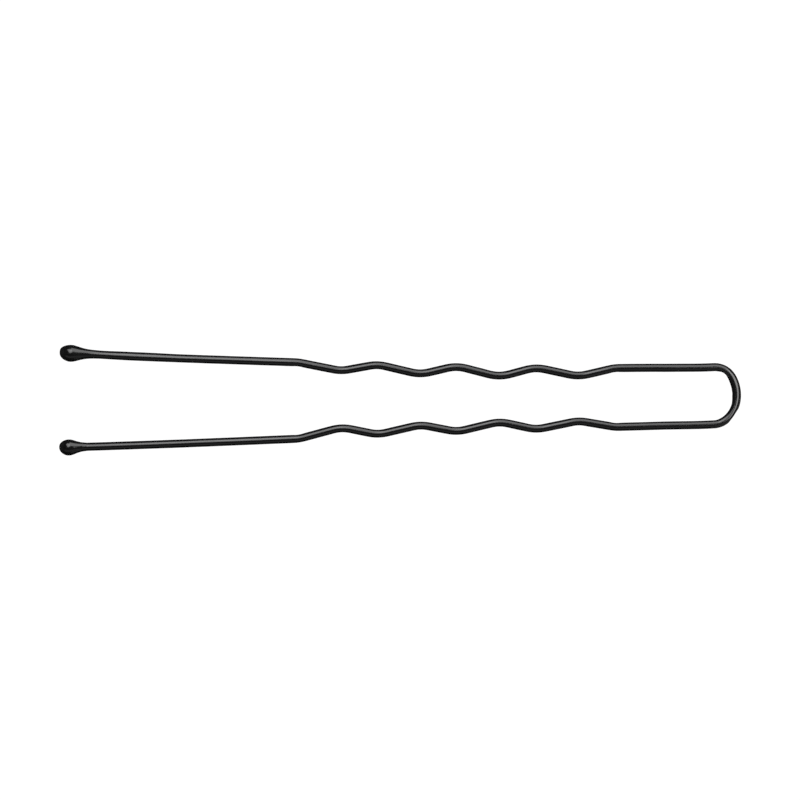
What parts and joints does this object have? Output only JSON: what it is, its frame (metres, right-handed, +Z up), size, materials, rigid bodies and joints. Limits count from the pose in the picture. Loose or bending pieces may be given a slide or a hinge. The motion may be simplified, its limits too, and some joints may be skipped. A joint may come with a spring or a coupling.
{
  "type": "hair pin",
  "caption": "U-shaped black wire hair pin with a rounded bow, wavy legs and straight, slightly spread tines that end in ball tips, for holding a bun or an up-do.",
  "frame": {"origin": "under the middle of the pin, on the surface that the ball tips lie on", "axes": "+X along the pin from the tips to the bow, +Y towards the upper leg, +Z up, square to the plane that the pin's wire is bent in"},
  "size_m": [0.076, 0.0124, 0.0019],
  "materials": {
    "spring_steel": "drawn spring-steel wire, sealed inside the lacquer",
    "black_lacquer": "baked black lacquer, semi-gloss",
    "tip_resin": "dipped and cured black resin, gloss"
  },
  "bodies": {
    "bow": {"bow_wire": "spring_steel", "bow_lacquer": "black_lacquer"},
    "upper_leg": {"upper_leg_wire": "spring_steel", "upper_leg_lacquer": "black_lacquer", "upper_ball_tip": "tip_resin"},
    "lower_leg": {"lower_leg_wire": "spring_steel", "lower_leg_lacquer": "black_lacquer", "lower_ball_tip": "tip_resin"}
  },
  "joints": [
    {"name": "upper_leg_flex", "type": "hinge", "parent": "bow", "child": "upper_leg", "pos_m": [0.0295, 0.00318, 0.00095], "axis": [0, 0, -1], "range_deg": [-3.5, 10], "stiffness_Nm_per_rad": 0.15},
    {"name": "lower_leg_flex", "type": "hinge", "parent": "bow", "child": "lower_leg", "pos_m": [0.0295, -0.00318, 0.00095], "axis": [0, 0, 1], "range_deg": [-3.5, 10], "stiffness_Nm_per_rad": 0.15}
  ]
}
